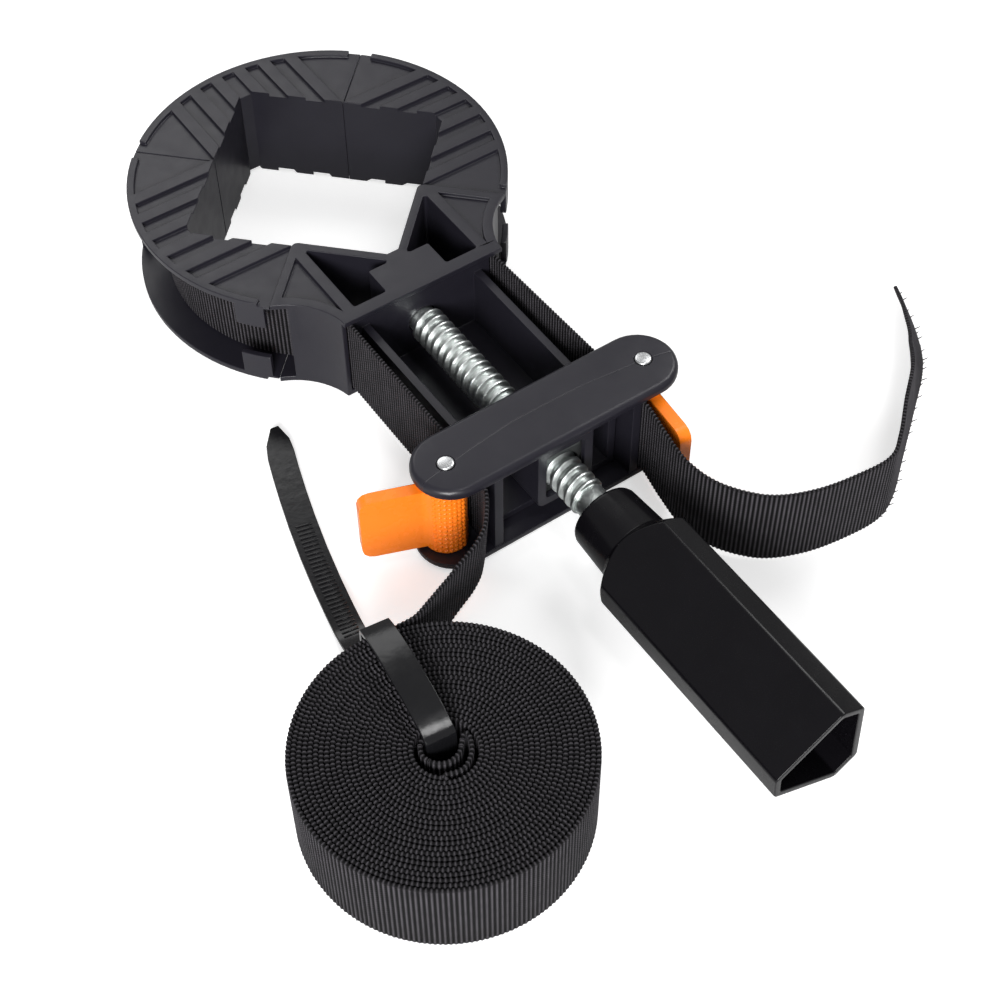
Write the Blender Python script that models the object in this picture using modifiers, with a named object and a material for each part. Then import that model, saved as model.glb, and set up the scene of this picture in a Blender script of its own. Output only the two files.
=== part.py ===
"""Band clamp: four corner blocks round a square opening, pulled tight by a webbing strap.

The head block carries two rails. A carriage rides on the rails, pushed by a screw with a handle,
and holds both runs of the strap under two cam levers. The spare strap lies in a tied roll.

Frame: metres, +Z up, +Y from the handle towards the ring of jaws. The origin is on the floor
under the middle of the head's rear wall.
"""
import math

import bmesh
import bpy
from mathutils import Matrix, Vector

MM = 0.001

# Fits
GAP = 0.3 * MM                # air between two pieces that touch
PIN_GAP = 0.2 * MM            # running air round a lever pin
SEAM_GAP = 0.3 * MM           # air in the joint between two jaws

# Webbing strap
STRAP_WIDTH = 24.4 * MM
STRAP_THICK = 1.1 * MM

# Ring of jaws
RING_RADIUS = 50.7 * MM
BLOCK_DEPTH = 10.3 * MM       # rim to the corner of the square opening
REAR_INSET = 1.7 * MM         # the head's rear wall lies this far inside the ring's circle
FLANGE = 1.6 * MM
STRAP_ROOM = 0.3 * MM         # above and below the strap in its channel
CHANNEL_DEPTH = 9.0 * MM      # strap channel, from the rim to its inner wall
BAND_COUNT = 11               # raised and recessed bands across a flange
BAND_STEP = 1.0 * MM
CORNER_FLAT = 1.7 * MM        # half of the flat across a block's corner
RIM_WIDTH = 2.0 * MM
RIM_STOP = 3.2 * MM           # plain end of the rim beside a seam
TAB_WIDTH = 8.0 * MM
TAB_HEIGHT = 7.0 * MM
TAB_THICK = 1.6 * MM
TAB_INSET = 1.6 * MM          # from a seam to its strap tab

# Head block
WALL = 3.0 * MM
SKIN = 1.3 * MM               # outer wall over the strap
LIP = 1.5 * MM                # the top plate's overhang behind the rear wall
HEAD_HALF = 23.8 * MM
HEAD_SAG = 2.3 * MM           # hollow of the outer wall
HEAD_PROUD = 1.2 * MM         # the head's faces in the opening, ahead of the blocks' faces
HEAD_ROUND = 1.6 * MM         # of their ends beside the seams
POCKET_WALL = 2.3 * MM        # round the pockets, towards the opening and the rear
PLATE_HALF = 9.1 * MM         # bare plate over the screw socket
PLATE_DEPTH = 10.9 * MM
RIB = 3.2 * MM                # between a pocket and the wedge recess beside it
RECESS_DEPTH = 1.1 * MM
RECESS_FRAME = 2.8 * MM       # from the outer wall to the wedge recess
SEAM_WALL = 2.3 * MM          # from the seam to the wedge recess
WINDOW = 4.0 * MM             # open end of the outer wall, beside the seam
EASE = 7.0 * MM               # how far the strap takes to turn inside the head
CORNER_ROUND = 1.2 * MM

# Rails
RAIL_ROOM = 3.0 * MM          # between a rail and the strap beside it
RAIL_THICK = 2.2 * MM
RAIL_DROP = 5.7 * MM          # top of the rails, below the top of the head
RAIL_LIFT = 0.4 * MM          # rails above the carriage's lower plate
RAIL_FLOOR = 2.0 * MM
RAIL_END = 58.5 * MM          # behind the head's rear wall

# Screw
SCREW_RADIUS = 4.9 * MM
SHANK_RADIUS = 4.3 * MM
TIP_RADIUS = 3.9 * MM
SOCKET_DEPTH = 5.5 * MM
THREAD_END = 73.5 * MM        # behind the head's rear wall
SHANK_BITE = 14.0 * MM        # shank inside the handle

# Carriage
CARRIAGE_Y = -56.0 * MM       # line through both lever pins
PIN_OUT = 7.25 * MM           # lever pins, outside the posts
CARRIAGE_RADIUS = 9.75 * MM
END_INSET = 1.4 * MM          # the plates' round ends are centred this far inside the pins
PLATE = 2.6 * MM
PLATE_ROUND = 1.5 * MM
POST_ROOM = 0.9 * MM          # between a post and the rail inside it
POST_THICK = 2.5 * MM
BOSS_HALF = 8.1 * MM
BOSS_SETBACK = 1.5 * MM
BOSS_ROUND = 2.2 * MM
NUT_HALF = 6.3 * MM
NUT_THICK = 7.0 * MM
NUT_LIP = 1.6 * MM            # front frame that keeps the nut in
NUT_WINDOW = 5.6 * MM
SLOT_TOP = 9.4 * MM           # top of the slot above the screw's axis

# Cam levers
PIN_RADIUS = 2.1 * MM
PIN_PROUD = 0.4 * MM
LEVER_GAP = 0.4 * MM          # above and below a cam
CAM_RISE = 0.009 * MM         # the cam's radius grows this much per degree towards the paddle
CAM_SWEEP = 200.0             # degrees of growing cam
CAM_BACK = 5.0                # degrees that the cam starts behind the paddle's face
GRIP_ANGLE = 89.0             # degrees from the paddle's face to the line that presses the locked strap
PADDLE_REACH = 21.7 * MM
PADDLE_THICK = 3.2 * MM
PADDLE_SET = 2.6 * MM         # the paddle's face, ahead of the pin's axis
PADDLE_FOOT = 0.9 * MM        # paddle above the lower plate
PADDLE_HEAD = 3.2 * MM        # paddle below the upper plate
PADDLE_TAPER = 0.5 * MM
PADDLE_ROUND = 3.0 * MM
FILLET = 3.0 * MM             # hollow corner between the paddle's face and the cam
LEFT_TURN = 20.0              # degrees the open left paddle leans towards the ring
RIGHT_TURN = -95.0            # the locked right paddle points back along the strap

# Handle
NECK_START = 79.2 * MM        # behind the head's rear wall
NECK_RADIUS = 8.9 * MM
NECK_SWELL = 0.7 * MM
NECK_LENGTH = 13.6 * MM
SHOULDER = 5.0 * MM
HANDLE_END = 160.0 * MM
GRIP_LONG = 20.5 * MM         # long side of the six-sided grip
GRIP_SHORT = 7.3 * MM
GRIP_WALL = 1.7 * MM
GRIP_ROUND = 1.6 * MM
GRIP_TURN = 4.0               # degrees, first long side's normal above level
GRIP_HOLLOW = 104.0 * MM      # where the hollow ends, behind the rear wall

# Spare strap
ROLL_AT = (-69.4 * MM, -116.6 * MM)
ROLL_RADIUS = 33.4 * MM
ROLL_HUB = 4.6 * MM
LEAD_MEETS = 68.0             # degrees from +X, where the lead reaches the roll

# Cable tie
TIE_ANGLE = 83.0              # degrees from +X, seen from above
TIE_WIDTH = 7.2 * MM
TIE_THICK = 1.3 * MM
TIE_HEAD = (6.2 * MM, 9.6 * MM, 7.6 * MM)
TIE_TAIL = 78.0 * MM          # free end past the head
TIE_SWAY = 9.5 * MM           # how far the free end curves off the straight

# Plan of the lead's foot in millimetres, first from the open cam, then from where it meets the roll
LEAD_LEAVES = ((-0.65, -3.2), (-2.45, -6.4), (-4.95, -9.4), (-7.85, -12.3), (-11.25, -14.3), (-15.35, -15.8))
LEAD_ARRIVES = ((15.57, 9.04), (10.57, 6.84), (5.57, 3.94))
LEAD_LEAN = 8.0               # degrees, half way to the roll

# Plan of the free end's foot, in millimetres on the floor
TAIL_PATH = ((20.9, -76.0), (20.2, -85.5), (22.9, -94.6), (30.2, -103.2), (40.0, -108.0),
             (51.5, -110.2), (61.5, -110.4), (69.0, -107.2), (78.0, -100.4), (91.0, -90.4), (104.0, -80.0),
             (111.2, -69.6), (118.4, -54.0))
TAIL_LEAN = 19.0              # degrees, of the far end


def new_collection(name):
    """A fresh collection in the scene."""
    collection = bpy.data.collections.new(name)
    bpy.context.scene.collection.children.link(collection)
    return collection


def clear_scene():
    """Take away whatever the file held."""
    for old in list(bpy.data.objects):
        bpy.data.objects.remove(old, do_unlink=True)


def make_material(name, colour, roughness, metallic=0.0):
    """A plain Principled finish."""
    material = bpy.data.materials.new(name)
    material.use_nodes = True
    shader = material.node_tree.nodes["Principled BSDF"]
    shader.inputs["Base Color"].default_value = (*colour, 1.0)
    shader.inputs["Roughness"].default_value = roughness
    shader.inputs["Metallic"].default_value = metallic
    return material


def arc(centre, radius, start, end, steps):
    """Points on a circle, from one angle to another in degrees."""
    turn = [math.radians(start + (end - start) * i / steps) for i in range(steps + 1)]
    return [(centre[0] + radius * math.cos(a), centre[1] + radius * math.sin(a)) for a in turn]


def rounded(points, radius, steps=3):
    """A polygon with each corner turned into a short arc of the given radius."""
    out = []
    for i, corner in enumerate(points):
        here = Vector(corner)
        back = (Vector(points[i - 1]) - here).normalized()
        ahead = (Vector(points[(i + 1) % len(points)]) - here).normalized()
        half = back.angle(ahead) / 2
        centre = here + (back + ahead).normalized() * (radius / math.sin(half))
        foot = here + back * (radius / math.tan(half)) - centre
        swing = -back.angle_signed(ahead)
        swing = (math.pi - abs(swing)) * (1 if swing > 0 else -1)
        for k in range(steps + 1):
            turn = Matrix.Rotation(-swing * k / steps, 2)
            out.append(tuple(centre + turn @ foot))
    return out


def mirrored(points):
    """The same outline on the other side of the clamp's middle plane."""
    return [(-x, y) for x, y in reversed(points)]


def rail_curve(points, per_span):
    """Points along a smooth curve through the given ones."""
    knots = [Vector(p) for p in points]
    knots = [2 * knots[0] - knots[1], *knots, 2 * knots[-1] - knots[-2]]
    out = []
    for a, b, c, d in zip(knots, knots[1:], knots[2:], knots[3:]):
        for k in range(per_span):
            t = k / per_span
            out.append(0.5 * (2 * b + (c - a) * t + (2 * a - 5 * b + 4 * c - d) * t * t
                              + (3 * b - a - 3 * c + d) * t * t * t))
    return [*out, knots[-2]]


def add_object(name, mesh, collection, material=None):
    """Link a mesh as a named object."""
    made = bpy.data.objects.new(name, mesh)
    collection.objects.link(made)
    if material:
        mesh.materials.append(material)
    return made


def bake(curve_object):
    """Turn a curve object into a mesh object with welded caps, in the same place."""
    bpy.context.view_layer.update()
    graph = bpy.context.evaluated_depsgraph_get()
    mesh = bpy.data.meshes.new_from_object(curve_object.evaluated_get(graph))
    mesh.transform(curve_object.matrix_world)
    name, collection = curve_object.name, curve_object.users_collection[0]
    bpy.data.objects.remove(curve_object)
    shape = bmesh.new()
    shape.from_mesh(mesh)
    bmesh.ops.remove_doubles(shape, verts=shape.verts, dist=1e-6)
    shape.to_mesh(mesh)
    shape.free()
    return add_object(name, mesh, collection)


def slab(name, outlines, low, high, collection, along="Z"):
    """A flat outline with thickness. Along Y, the outline is drawn in X and Z."""
    curve = bpy.data.curves.new(name, "CURVE")
    curve.dimensions = "2D"
    curve.fill_mode = "BOTH"
    curve.extrude = (high - low) / 2
    for outline in outlines:
        spline = curve.splines.new("POLY")
        spline.points.add(len(outline) - 1)
        for point, place in zip(spline.points, outline):
            point.co = (*place, 0, 1)
        spline.use_cyclic_u = True
    made = bpy.data.objects.new(name, curve)
    collection.objects.link(made)
    made.location.z = (high + low) / 2
    if along == "Y":
        made.rotation_euler.x = math.pi / 2
        made.location = (0, (high + low) / 2, 0)
    return bake(made)


def cylinder(name, radius, low, high, collection, at=(0, 0), along="Z", sides=32):
    """A round bar. Along Y, its place is given in X and Z."""
    shape = bmesh.new()
    bmesh.ops.create_cone(shape, cap_ends=True, segments=sides, radius1=radius, radius2=radius,
                          depth=high - low)
    middle = (high + low) / 2
    if along == "Y":
        place = Matrix.Translation((at[0], middle, at[1])) @ Matrix.Rotation(math.pi / 2, 4, "X")
    else:
        place = Matrix.Translation((at[0], at[1], middle))
    bmesh.ops.transform(shape, matrix=place, verts=shape.verts)
    mesh = bpy.data.meshes.new(name)
    shape.to_mesh(mesh)
    shape.free()
    return add_object(name, mesh, collection)


def box(name, low, high, collection):
    """A box between two corners."""
    shape = bmesh.new()
    size = Vector(high) - Vector(low)
    place = Matrix.Translation((Vector(high) + Vector(low)) / 2) @ Matrix.Diagonal((*size, 1))
    bmesh.ops.create_cube(shape, size=1, matrix=place)
    mesh = bpy.data.meshes.new(name)
    shape.to_mesh(mesh)
    shape.free()
    return add_object(name, mesh, collection)


def combine(target, tool, operation="DIFFERENCE"):
    """Cut, join or keep the shared part, and leave the tool as a hidden guide."""
    step = target.modifiers.new(tool.name, "BOOLEAN")
    step.operation = operation
    step.object = tool
    tool.display_type = "WIRE"
    tool.hide_render = True


def turned(name, profile, collection, centre=(0, 0, 0), axis="Z", steps=48):
    """A profile of (radius, height) points, listed top to bottom, spun round an axis."""
    mesh = bpy.data.meshes.new(name)
    closed = [*zip(range(len(profile)), range(1, len(profile)))]
    mesh.from_pydata([(r, 0, h) for r, h in profile], closed, [])
    made = add_object(name, mesh, collection)
    made.location = centre
    if axis == "Y":
        made.rotation_euler.x = math.pi / 2
    screw = made.modifiers.new("turn", "SCREW")
    screw.steps = steps
    screw.render_steps = steps
    screw.use_merge_vertices = True
    screw.merge_threshold = 1e-6
    screw.use_smooth_shade = False
    return made


def ribbon(name, feet, heads, thickness, collection, material=None):
    """A strip of even thickness between two matching edges."""
    mesh = bpy.data.meshes.new(name)
    count = len(feet)
    faces = [(i, i + 1, count + i + 1, count + i) for i in range(count - 1)]
    mesh.from_pydata([*feet, *heads], [], faces)
    made = add_object(name, mesh, collection, material)
    wall = made.modifiers.new("thickness", "SOLIDIFY")
    wall.thickness = thickness
    wall.offset = 0
    return made


def standing_strap(name, plan, low, collection, material, rise=0.0):
    """Strap on its edge along a plan, its foot climbing by rise from end to end."""
    last = len(plan) - 1
    feet = [(x, y, low + rise * i / last) for i, (x, y) in enumerate(plan)]
    heads = [(x, y, z + STRAP_WIDTH) for x, y, z in feet]
    return ribbon(name, feet, heads, STRAP_THICK, collection, material)


def round_edges(made, height, radius):
    """Round the outline edges that lie at one height of a slab."""
    shape = bmesh.new()
    shape.from_mesh(made.data)
    tiny = 1e-6
    at_height = [v for v in shape.verts if abs(v.co.z - height) < tiny]
    bmesh.ops.dissolve_faces(shape, faces=[f for f in shape.faces if all(v in at_height for v in f.verts)])
    outline = [e for e in shape.edges if all(abs(v.co.z - height) < tiny for v in e.verts)]
    bmesh.ops.bevel(shape, geom=outline, offset=radius, segments=3, profile=0.5, affect="EDGES")
    shape.to_mesh(made.data)
    shape.free()


def smooth(made, degrees=35):
    """Smooth shading with sharp edges kept."""
    made.data.shade_smooth()
    made.data.set_sharp_from_angle(angle=math.radians(degrees))


# Sizes that follow from the ones above
CORNER_REACH = RING_RADIUS - BLOCK_DEPTH
RING_Y = RING_RADIUS - REAR_INSET     # ring centre, ahead of the head's rear wall
JAW_HEIGHT = STRAP_WIDTH + 2 * (FLANGE + STRAP_ROOM)
SLOT = STRAP_WIDTH + 2 * GAP          # clear height between the carriage's plates
SEAM_SHIFT = SEAM_GAP / 2 * math.sqrt(2)
RIM_HALF_ANGLE = 45 - math.degrees(math.asin(SEAM_SHIFT / (RING_RADIUS * math.sqrt(2))))
BAND = 2 * (CORNER_REACH / 2) / BAND_COUNT
CHANNEL_RADIUS = RING_RADIUS - CHANNEL_DEPTH
STRAP_RADIUS = CHANNEL_RADIUS + GAP + STRAP_THICK / 2
STRAP_LOW = (JAW_HEIGHT - STRAP_WIDTH) / 2
CARRIAGE_TOP = 2 * PLATE + SLOT
AXIS_Z = (JAW_HEIGHT + CARRIAGE_TOP) / 4
GRIP_LOW = PLATE + (SLOT - STRAP_WIDTH) / 2
REAR = -WALL / 2                      # rear face of the head's wall
EXIT_X = HEAD_HALF - SKIN - GAP - STRAP_THICK / 2
RAIL_OUT = EXIT_X - STRAP_THICK / 2 - RAIL_ROOM
POST_OUT = RAIL_OUT + POST_ROOM + POST_THICK
STRAP_X = POST_OUT + GAP + STRAP_THICK / 2
PIN_X = POST_OUT + PIN_OUT
GRIP_END = CARRIAGE_Y - CARRIAGE_RADIUS - 1 * MM     # the locked strap leaves the carriage
LOOSE_END = CARRIAGE_Y - 2.5 * MM     # the loose strap bends away from the open cam
BEYOND = 5 * MM               # how far a cutter reaches past the piece it cuts


def jaw_blank_plan():
    """Outline of one jaw, its corner on +X and the ring's centre at the origin."""
    flat = CORNER_FLAT
    tip = ((CORNER_REACH + SEAM_SHIFT) / 2, (CORNER_REACH - SEAM_SHIFT) / 2)
    rim = arc((0, 0), RING_RADIUS, -RIM_HALF_ANGLE, RIM_HALF_ANGLE, 28)
    return [(CORNER_REACH - flat, -flat), (tip[0], -tip[1]), *rim, tip, (CORNER_REACH - flat, flat)]


def channel_plan():
    """Plan of the strap channel, less the strips of rim that become tabs."""
    wide = 60
    outer = RING_RADIUS + BEYOND
    behind = RING_RADIUS - TAB_THICK
    near = RIM_HALF_ANGLE - math.degrees(TAB_INSET / RING_RADIUS)
    far = near - math.degrees(TAB_WIDTH / RING_RADIUS)
    path = [*arc((0, 0), CHANNEL_RADIUS, -wide, wide, 30)]
    path += [*arc((0, 0), outer, wide, near, 3), *arc((0, 0), behind, near, far, 4)]
    path += [*arc((0, 0), outer, far, -far, 8), *arc((0, 0), behind, -far, -near, 4)]
    return [*path, *arc((0, 0), outer, -near, -wide, 3)]


def tab_space_plan():
    """Plan of the open space between the upper and the lower tabs."""
    wide = 60
    inner = arc((0, 0), RING_RADIUS - 2 * TAB_THICK, -wide, wide, 30)
    return [*inner, *arc((0, 0), RING_RADIUS + BEYOND, wide, -wide, 12)]


def recess_plans():
    """Plans of the low bands between the raised ones, and of the plain ends beside the seams."""
    inside = RING_RADIUS - RIM_WIDTH
    plans = []
    for k in range(-(BAND_COUNT // 2) + 1, BAND_COUNT // 2, 2):
        low, high = (k - 0.5) * BAND, (k + 0.5) * BAND
        start = CORNER_REACH / 4
        plans.append([(start, low), (math.sqrt(inside ** 2 - low ** 2), low),
                      (math.sqrt(inside ** 2 - high ** 2), high), (start, high)])
    edge = BAND_COUNT / 2 * BAND
    start_angle = math.degrees(math.asin(edge / inside))
    stop = RIM_HALF_ANGLE - math.degrees(RIM_STOP / RING_RADIUS)
    far = RING_RADIUS + BEYOND
    past = 2 * RIM_HALF_ANGLE - stop
    sector = [(edge - BAND, edge), *arc((0, 0), inside, start_angle, stop, 6),
              *arc((0, 0), far, stop, past, 1)]
    plans.append(sector)
    plans.append([(x, -y) for x, y in reversed(sector)])
    return plans


def build_jaw(name, turn, parts, tools, material):
    """One corner block: ribbed flanges, a V for the workpiece, and the strap channel round the back."""
    jaw = slab(name, [jaw_blank_plan()], 0, JAW_HEIGHT, parts)
    jaw.data.materials.append(material)
    place = Matrix.Translation((0, RING_Y, 0)) @ Matrix.Rotation(math.radians(turn), 4, "Z")
    middle = FLANGE + TAB_HEIGHT
    cutters = [
        slab(name + "_channel", [channel_plan()], FLANGE, JAW_HEIGHT - FLANGE, tools),
        slab(name + "_tab_space", [tab_space_plan()], middle, JAW_HEIGHT - middle, tools),
        slab(name + "_top_bands", recess_plans(), JAW_HEIGHT - BAND_STEP, JAW_HEIGHT + BEYOND, tools),
        slab(name + "_low_bands", recess_plans(), -BEYOND, BAND_STEP, tools),
    ]
    for piece in [jaw, *cutters]:
        piece.data.transform(place)
    for cutter in cutters:
        combine(jaw, cutter)
    return jaw


def head_side(inset=0.0):
    """The hollow outer wall of the head on the right, from the rim's end back to the rear corner."""
    start = Vector(arc((0, RING_Y), RING_RADIUS, -90 + RIM_HALF_ANGLE, 0, 1)[0])
    end = Vector((HEAD_HALF, REAR))
    chord = end - start
    radius = (chord.length / 2) ** 2 / (2 * HEAD_SAG) + HEAD_SAG / 2
    across = Vector((-chord.y, chord.x)).normalized()
    centre = (start + end) / 2 + across * (radius - HEAD_SAG)
    first, last = start - centre, end - centre
    swing = first.angle_signed(last)
    grown = 1 + inset / radius
    return [tuple(centre + Matrix.Rotation(-swing * k / 10, 2) @ first * grown) for k in range(11)]


def head_strap_plan():
    """Middle line of the strap through the head on the right, from the seam to the rear exit."""
    diagonal = Vector((1, -1)) / math.sqrt(2)
    start = Vector((0, RING_Y)) + diagonal * STRAP_RADIUS
    leave = Vector((-1, -1)) / math.sqrt(2)
    end = Vector((EXIT_X, REAR))
    shift = SEAM_GAP / 2
    a, b, c, d = start + leave * shift, start + leave * EASE, end + Vector((0, EASE)), end
    out = []
    for k in range(11):
        t = k / 10
        out.append(a * (1 - t) ** 3 + 3 * b * t * (1 - t) ** 2 + 3 * c * t * t * (1 - t) + d * t ** 3)
    return out


def build_head(parts, tools, material):
    """Head block and rails, one moulding: two horns, the strap passages, the socket and the U rails."""
    low_y = REAR - LIP
    flat = CORNER_FLAT
    reach = CORNER_REACH - HEAD_PROUD * math.sqrt(2)
    side = head_side()
    middle, tip = (flat, RING_Y - reach + flat), ((reach - SEAM_SHIFT) / 2, RING_Y - (reach + SEAM_SHIFT) / 2)
    eased_tip = rounded([middle, tip, side[0]], HEAD_ROUND)[4:8]
    right = [middle, *eased_tip, *side, (HEAD_HALF, low_y)]
    head = slab("head_frame", [[*right, *mirrored(right)]], 0, JAW_HEIGHT, parts)
    head.data.materials.append(material)

    wide = HEAD_HALF + BEYOND
    combine(head, box("under_lip", (-wide, low_y - BEYOND, -BEYOND), (wide, REAR, JAW_HEIGHT - LIP), tools))

    pocket_out = EXIT_X - STRAP_THICK / 2 - GAP - POCKET_WALL
    inner = reach + POCKET_WALL * math.sqrt(2)
    plate_front = REAR + PLATE_DEPTH
    pocket_back = REAR + POCKET_WALL
    pocket = rounded([
        (inner - (RING_Y - plate_front), plate_front), (PLATE_HALF, plate_front), (PLATE_HALF, pocket_back),
        (pocket_out, pocket_back), (pocket_out, RING_Y - inner + pocket_out)], CORNER_ROUND / 2, 2)
    combine(head, slab("head_pockets", [pocket, mirrored(pocket)], -BEYOND, JAW_HEIGHT + BEYOND, tools))

    limit = RING_Y - SEAM_WALL * math.sqrt(2)
    rib = pocket_out + RIB
    inset = head_side(RECESS_FRAME)
    kept = [p for p in inset if sum(p) < limit and p[0] > rib]
    before, after = inset[inset.index(kept[0]) - 1], inset[inset.index(kept[-1]) + 1]
    share = (sum(before) - limit) / (sum(before) - sum(kept[0]))
    seam_corner = Vector(before).lerp(Vector(kept[0]), share)
    share = (kept[-1][0] - rib) / (kept[-1][0] - after[0])
    rear_corner = Vector(kept[-1]).lerp(Vector(after), share)
    recess = [(rib, limit - rib), tuple(seam_corner), *kept, tuple(rear_corner)]
    combine(head, slab("head_recesses", [recess, mirrored(recess)], JAW_HEIGHT - RECESS_DEPTH,
                       JAW_HEIGHT + BEYOND, tools))

    strap = head_strap_plan()
    clear = STRAP_THICK / 2 + GAP
    inner_line = []
    for a, b in zip(strap, strap[1:]):
        along = (b - a).normalized()
        inner_line.append(tuple((a + b) / 2 + Vector((along.y, -along.x)) * clear))
    toward_seam = Vector((1, 1)) / math.sqrt(2)
    first = tuple(Vector(inner_line[0]) + toward_seam * BEYOND)
    last = (inner_line[-1][0], low_y - BEYOND)
    outer_line = [(x - SKIN, y) for x, y in side]
    corner = Vector(side[0])
    outward = Vector((1, -1)) / math.sqrt(2)
    mouth = [tuple(corner - toward_seam * WINDOW - outward * SKIN * 2),
             tuple(corner - toward_seam * WINDOW + outward * BEYOND),
             tuple(corner + toward_seam * BEYOND + outward * BEYOND)]
    kept = [p for p in outer_line if (Vector(p) - corner).dot(-toward_seam) > WINDOW]
    passage = [first, *inner_line, last, (outer_line[-1][0], low_y - BEYOND), *reversed(kept), *mouth]
    combine(head, slab("head_passages", [passage, mirrored(passage)], FLANGE, JAW_HEIGHT - FLANGE, tools))

    combine(head, cylinder("tip_socket", TIP_RADIUS + GAP, low_y - BEYOND, REAR + SOCKET_DEPTH, tools,
                           at=(0, AXIS_Z), along="Y"))

    inside = RAIL_OUT - RAIL_THICK
    base, top = PLATE + RAIL_LIFT, JAW_HEIGHT - RAIL_DROP
    floor = base + RAIL_FLOOR
    channel = [(-RAIL_OUT, base), (RAIL_OUT, base), (RAIL_OUT, top), (inside, top),
               (inside, floor), (-inside, floor), (-inside, top), (-RAIL_OUT, top)]
    combine(head, slab("rails", [channel], REAR - RAIL_END, REAR + WALL / 2, tools, along="Y"), "UNION")
    return head


def build_carriage(parts, tools, material):
    """Carriage, one moulding: two plates with round ends, two posts and the boss that holds the nut."""
    middle = PIN_X - END_INSET
    ends = [*arc((middle, CARRIAGE_Y), CARRIAGE_RADIUS, -90, 90, 20),
            *arc((-middle, CARRIAGE_Y), CARRIAGE_RADIUS, 90, 270, 20)]
    carriage = slab("carriage", [ends], 0, PLATE, parts)
    round_edges(carriage, 0, PLATE_ROUND)
    carriage.data.materials.append(material)
    upper = slab("upper_plate", [ends], PLATE + SLOT, CARRIAGE_TOP, tools)
    round_edges(upper, CARRIAGE_TOP, PLATE_ROUND)
    combine(carriage, upper, "UNION")

    sink = GAP
    depth = CARRIAGE_RADIUS - sink
    for side in (-1, 1):
        low_x, high_x = sorted((side * POST_OUT, side * (POST_OUT - POST_THICK)))
        post = box("post", (low_x, CARRIAGE_Y - depth, PLATE - sink),
                   (high_x, CARRIAGE_Y + depth, PLATE + SLOT + sink), tools)
        combine(carriage, post, "UNION")

    front = CARRIAGE_Y - CARRIAGE_RADIUS + BOSS_SETBACK
    back = CARRIAGE_Y + CARRIAGE_RADIUS - BOSS_SETBACK
    top = PLATE + SLOT + sink
    boss_low = AXIS_Z - BOSS_HALF
    corner = rounded([(-BOSS_HALF, boss_low), (BOSS_HALF, boss_low), (BOSS_HALF, top), (-BOSS_HALF, top)],
                     BOSS_ROUND)
    upright = [p for p in corner if p[1] < boss_low + BOSS_ROUND * 1.01]
    upright = [(BOSS_HALF, top), (-BOSS_HALF, top), *upright]
    combine(carriage, slab("boss", [upright], front, back, tools, along="Y"), "UNION")

    room = NUT_HALF + GAP
    nut_front = front + NUT_LIP
    combine(carriage, box("nut_room", (-room, nut_front, AXIS_Z - room),
                          (room, nut_front + NUT_THICK + 2 * GAP, AXIS_Z + SLOT_TOP), tools))
    window = rounded([(-NUT_WINDOW, AXIS_Z - NUT_WINDOW), (NUT_WINDOW, AXIS_Z - NUT_WINDOW),
                      (NUT_WINDOW, AXIS_Z + SLOT_TOP), (-NUT_WINDOW, AXIS_Z + SLOT_TOP)], 1.2 * MM)
    combine(carriage, slab("nut_window", [window], front - BEYOND, nut_front + NUT_THICK / 2, tools, along="Y"))
    combine(carriage, cylinder("screw_way", SCREW_RADIUS + GAP, nut_front, back + BEYOND, tools,
                               at=(0, AXIS_Z), along="Y"))
    for side in (-1, 1):
        combine(carriage, cylinder("pin_hole", PIN_RADIUS + PIN_GAP, -BEYOND, CARRIAGE_TOP + BEYOND, tools,
                                   at=(side * PIN_X, CARRIAGE_Y), sides=24))
    return carriage


def build_nut(parts, tools, material):
    """Square nut kept in the boss."""
    start = CARRIAGE_Y - CARRIAGE_RADIUS + BOSS_SETBACK + NUT_LIP + GAP
    square = rounded([(-NUT_HALF, AXIS_Z - NUT_HALF), (NUT_HALF, AXIS_Z - NUT_HALF),
                      (NUT_HALF, AXIS_Z + NUT_HALF), (-NUT_HALF, AXIS_Z + NUT_HALF)], 0.8 * MM)
    nut = slab("spindle_nut", [square], start, start + NUT_THICK, parts, along="Y")
    nut.data.materials.append(material)
    combine(nut, cylinder("nut_bore", SCREW_RADIUS + GAP, start - BEYOND, start + NUT_THICK + BEYOND, tools,
                          at=(0, AXIS_Z), along="Y"))
    return nut


def build_spindle(parts, material):
    """Screw: a plain tip in the head's socket, the threaded length, and the shank in the handle."""
    tip = REAR + SOCKET_DEPTH - GAP
    step = 0.7 * MM
    end = NECK_START + SHANK_BITE
    lengths = [(0, -tip), (TIP_RADIUS - step, -tip), (TIP_RADIUS, step - tip), (TIP_RADIUS, -REAR + GAP),
               (SCREW_RADIUS, -REAR + GAP + step), (SCREW_RADIUS, THREAD_END), (SHANK_RADIUS, THREAD_END + step),
               (SHANK_RADIUS, end), (0, end)]
    screw = turned("spindle_screw", list(reversed(lengths)), parts, centre=(0, 0, AXIS_Z), axis="Y", steps=32)
    screw.data.materials.append(material)
    smooth(screw)
    return screw


def grip_plan(inset, radius):
    """Six-sided section of the grip round the screw's axis, in X and Z."""
    big = GRIP_LONG + 2 * GRIP_SHORT
    reach = {0: big / (2 * math.sqrt(3)) - inset,
             1: big / math.sqrt(3) - GRIP_SHORT * math.sqrt(3) / 2 - inset}
    corners = []
    for k in range(6):
        a = math.radians(GRIP_TURN + 60 * k)
        b = math.radians(GRIP_TURN + 60 * (k + 1))
        p, q = reach[k % 2], reach[(k + 1) % 2]
        det = math.sin(b - a)
        corners.append(((p * math.sin(b) - q * math.sin(a)) / det, AXIS_Z + (q * math.cos(a) - p * math.cos(b)) / det))
    return rounded(corners, radius, 3)


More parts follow.
